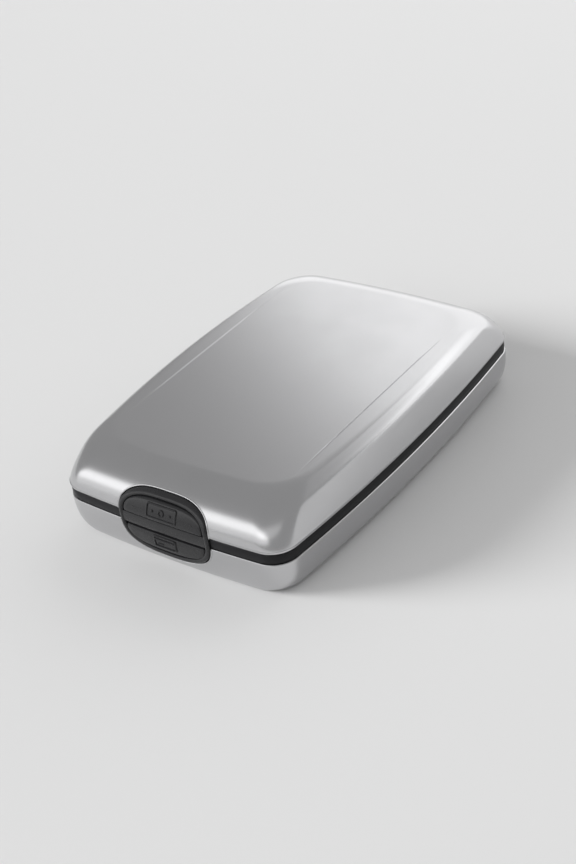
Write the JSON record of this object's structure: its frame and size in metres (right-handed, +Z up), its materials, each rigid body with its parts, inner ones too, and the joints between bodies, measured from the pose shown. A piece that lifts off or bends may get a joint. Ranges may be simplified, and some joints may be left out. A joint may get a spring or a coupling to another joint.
{
  "type": "card holder",
  "caption": "Slim two-sided pocket case of satin aluminium with a black belt: one lid opens on a note clip, the other on a tipping card tray, each by its own push button",
  "frame": {"origin": "centre of the bottom of the closed case's box, on the surface that it lies on", "axes": "+X across the case, +Y towards the hinges, away from the push buttons, +Z up through the cash side"},
  "size_m": [0.07, 0.107, 0.0222],
  "materials": {
    "satin_aluminium": "bead-blasted and clear anodised, satin",
    "black_plastic": "moulded black ABS, fine matt grain",
    "charcoal_plastic": "moulded charcoal ABS, satin",
    "spring_steel": "bright spring steel"
  },
  "bodies": {
    "chassis": {"mid_frame": "black_plastic", "button_bezel": "charcoal_plastic", "hinge_pin_cash": "spring_steel", "hinge_pin_cards": "spring_steel", "tray_pin": "spring_steel", "clip_pin": "spring_steel", "cash_lid_spring": "spring_steel", "cards_lid_spring": "spring_steel", "tray_spring": "spring_steel", "clip_spring": "spring_steel", "cash_button_spring_left": "spring_steel", "cash_button_spring_right": "spring_steel", "cards_button_spring_left": "spring_steel", "cards_button_spring_right": "spring_steel"},
    "cash_lid": {"cash_shell": "satin_aluminium", "cash_liner": "black_plastic"},
    "cards_lid": {"cards_shell": "satin_aluminium", "cards_liner": "black_plastic"},
    "cash_button": {"cash_button": "charcoal_plastic"},
    "cards_button": {"cards_button": "charcoal_plastic"},
    "card_tray": {"card_tray": "black_plastic"},
    "money_clip": {"money_clip": "spring_steel"}
  },
  "joints": [
    {"name": "cash_lid_hinge", "type": "hinge", "parent": "chassis", "child": "cash_lid", "pos_m": [0, 0.05217, 0.01255], "axis": [-1, 0, 0], "range_deg": [0, 100], "deforming": ["cash_lid_spring"]},
    {"name": "cards_lid_hinge", "type": "hinge", "parent": "chassis", "child": "cards_lid", "pos_m": [0, 0.05217, 0.00915], "axis": [1, 0, 0], "range_deg": [0, 100], "deforming": ["cards_lid_spring"]},
    {"name": "cash_button_press", "type": "slide", "parent": "chassis", "child": "cash_button", "axis": [0, 1, 0], "range_m": [0, 0.001], "stiffness_N_per_m": 600, "springref_m": -0.0015, "deforming": ["cash_button_spring_left", "cash_button_spring_right"]},
    {"name": "cards_button_press", "type": "slide", "parent": "chassis", "child": "cards_button", "axis": [0, 1, 0], "range_m": [0, 0.001], "stiffness_N_per_m": 600, "springref_m": -0.0015, "deforming": ["cards_button_spring_left", "cards_button_spring_right"]},
    {"name": "card_tray_tip", "type": "hinge", "parent": "chassis", "child": "card_tray", "pos_m": [0, 0.04507, 0.00885], "axis": [1, 0, 0], "range_deg": [0, 15], "deforming": ["tray_spring"]},
    {"name": "money_clip_lift", "type": "hinge", "parent": "chassis", "child": "money_clip", "pos_m": [0, 0.03828, 0.01305], "axis": [-1, 0, 0], "range_deg": [0, 5], "stiffness_Nm_per_rad": 0.05, "springref_deg": -11.46, "deforming": ["clip_spring"]}
  ],
  "couplings": [
    {"joint": "card_tray_tip", "follows": "cards_lid_hinge", "ratio": 0.15}
  ]
}
